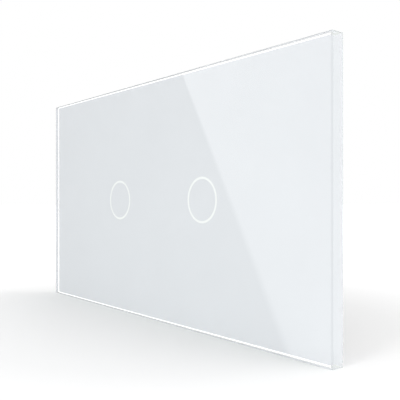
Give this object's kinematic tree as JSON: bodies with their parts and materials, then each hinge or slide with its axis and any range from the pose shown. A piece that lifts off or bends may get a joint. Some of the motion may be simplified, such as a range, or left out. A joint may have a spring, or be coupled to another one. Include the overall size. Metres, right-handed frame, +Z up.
{
  "type": "touch light switch",
  "caption": "Wall-mounted touch light switch: a wide white glass panel with ring marks clips onto a support frame, with relays and screw terminals in the housing behind.",
  "frame": {"origin": "midpoint between the two wall screws, on the wall plane that the support frame's land lies on", "axes": "+X to the right as seen from the front, +Y into the wall, +Z up; the glass faces -Y"},
  "size_m": [0.151, 0.0358, 0.08],
  "materials": {
    "panel_glass": "polished",
    "panel_print": "white screen print behind the glass",
    "ring_print": "translucent white",
    "tape_foam": "matt",
    "carrier_plastic": "fine moulded texture",
    "spring_steel": "bright",
    "frame_plastic": "fine moulded texture",
    "cover_plastic": "fine moulded texture",
    "guide_plastic": "frosted translucent",
    "board": "solder resist",
    "led_resin": "clear resin on phosphor",
    "chip_resin": "moulded",
    "passive_ceramic": "ceramic with tinned ends",
    "connector_plastic": "moulded",
    "pin_metal": "gold flash",
    "film_capacitor": "potted box",
    "can_sleeve": "sleeved",
    "fuse_body": "moulded",
    "varistor_coat": "dipped",
    "ferrite": "ground",
    "winding_tape": "polyester tape",
    "relay_base": "moulded",
    "coil_copper": "enamelled wire",
    "yoke_steel": "plated",
    "armature_steel": "plated",
    "contact_copper": "bright",
    "relay_case": "moulded",
    "terminal_plastic": "moulded",
    "terminal_brass": "tinned edges",
    "screw_steel": "zinc plated",
    "housing_plastic": "fine moulded texture"
  },
  "bodies": {
    "module": {"support_frame": "frame_plastic", "front_cover": "cover_plastic", "light_guide_left": "guide_plastic", "light_guide_right": "guide_plastic", "touch_spring_left": "spring_steel", "touch_spring_right": "spring_steel", "sensor_board": "board", "status_leds": "led_resin", "touch_chips": "chip_resin", "sensor_passives": "passive_ceramic", "board_header": "connector_plastic", "header_pins": "pin_metal", "board_socket": "connector_plastic", "power_board": "board", "filter_capacitor": "film_capacitor", "smoothing_capacitors": "can_sleeve", "fuse": "fuse_body", "varistor": "varistor_coat", "transformer_core": "ferrite", "transformer_winding": "winding_tape", "rectifier": "chip_resin", "relay_left_base": "relay_base", "relay_left_coil": "coil_copper", "relay_left_yoke": "yoke_steel", "relay_left_contacts": "contact_copper", "relay_left_case": "relay_case", "relay_right_base": "relay_base", "relay_right_coil": "coil_copper", "relay_right_yoke": "yoke_steel", "relay_right_contacts": "contact_copper", "relay_right_case": "relay_case", "terminal_block": "terminal_plastic", "terminal_bars": "terminal_brass", "rear_housing": "housing_plastic", "housing_screws": "screw_steel"},
    "panel": {"glass_plate": "panel_glass", "back_print": "panel_print", "ring_windows": "ring_print", "panel_tape": "tape_foam", "clip_frame": "carrier_plastic", "snap_clips": "spring_steel"},
    "armature_left": {"relay_left_armature": "armature_steel"},
    "armature_right": {"relay_right_armature": "armature_steel"},
    "screw_1": {"terminal_screw_1": "screw_steel"},
    "screw_2": {"terminal_screw_2": "screw_steel"},
    "screw_3": {"terminal_screw_3": "screw_steel"},
    "cage_1": {"terminal_cage_1": "terminal_brass"},
    "cage_2": {"terminal_cage_2": "terminal_brass"},
    "cage_3": {"terminal_cage_3": "terminal_brass"}
  },
  "joints": [
    {"name": "panel_pull", "type": "slide", "parent": "module", "child": "panel", "axis": [0, -1, 0], "range_m": [0, 0.04], "deforming": ["snap_clips"]},
    {"name": "armature_left_rock", "type": "hinge", "parent": "module", "child": "armature_left", "pos_m": [-0.0186, 0.00845, 0.012], "axis": [0, 0, -1], "range_deg": [0, 3], "stiffness_Nm_per_rad": 0.01},
    {"name": "armature_right_rock", "type": "hinge", "parent": "module", "child": "armature_right", "pos_m": [0.0304, 0.00845, 0.012], "axis": [0, 0, -1], "range_deg": [0, 3], "stiffness_Nm_per_rad": 0.01},
    {"name": "screw_1_turn", "type": "hinge", "parent": "module", "child": "screw_1", "pos_m": [-0.009, 0.0175, -0.017], "axis": [0, -1, 0], "range_deg": [0, 2160]},
    {"name": "screw_2_turn", "type": "hinge", "parent": "module", "child": "screw_2", "pos_m": [0, 0.0175, -0.017], "axis": [0, -1, 0], "range_deg": [0, 2160]},
    {"name": "screw_3_turn", "type": "hinge", "parent": "module", "child": "screw_3", "pos_m": [0.009, 0.0175, -0.017], "axis": [0, -1, 0], "range_deg": [0, 2160]},
    {"name": "cage_1_rise", "type": "slide", "parent": "module", "child": "cage_1", "axis": [0, 1, 0], "range_m": [0, 0.003]},
    {"name": "cage_2_rise", "type": "slide", "parent": "module", "child": "cage_2", "axis": [0, 1, 0], "range_m": [0, 0.003]},
    {"name": "cage_3_rise", "type": "slide", "parent": "module", "child": "cage_3", "axis": [0, 1, 0], "range_m": [0, 0.003]}
  ],
  "couplings": [
    {"joint": "screw_1_turn", "follows": "cage_1_rise", "rad_per_m": 12566},
    {"joint": "screw_2_turn", "follows": "cage_2_rise", "rad_per_m": 12566},
    {"joint": "screw_3_turn", "follows": "cage_3_rise", "rad_per_m": 12566}
  ]
}
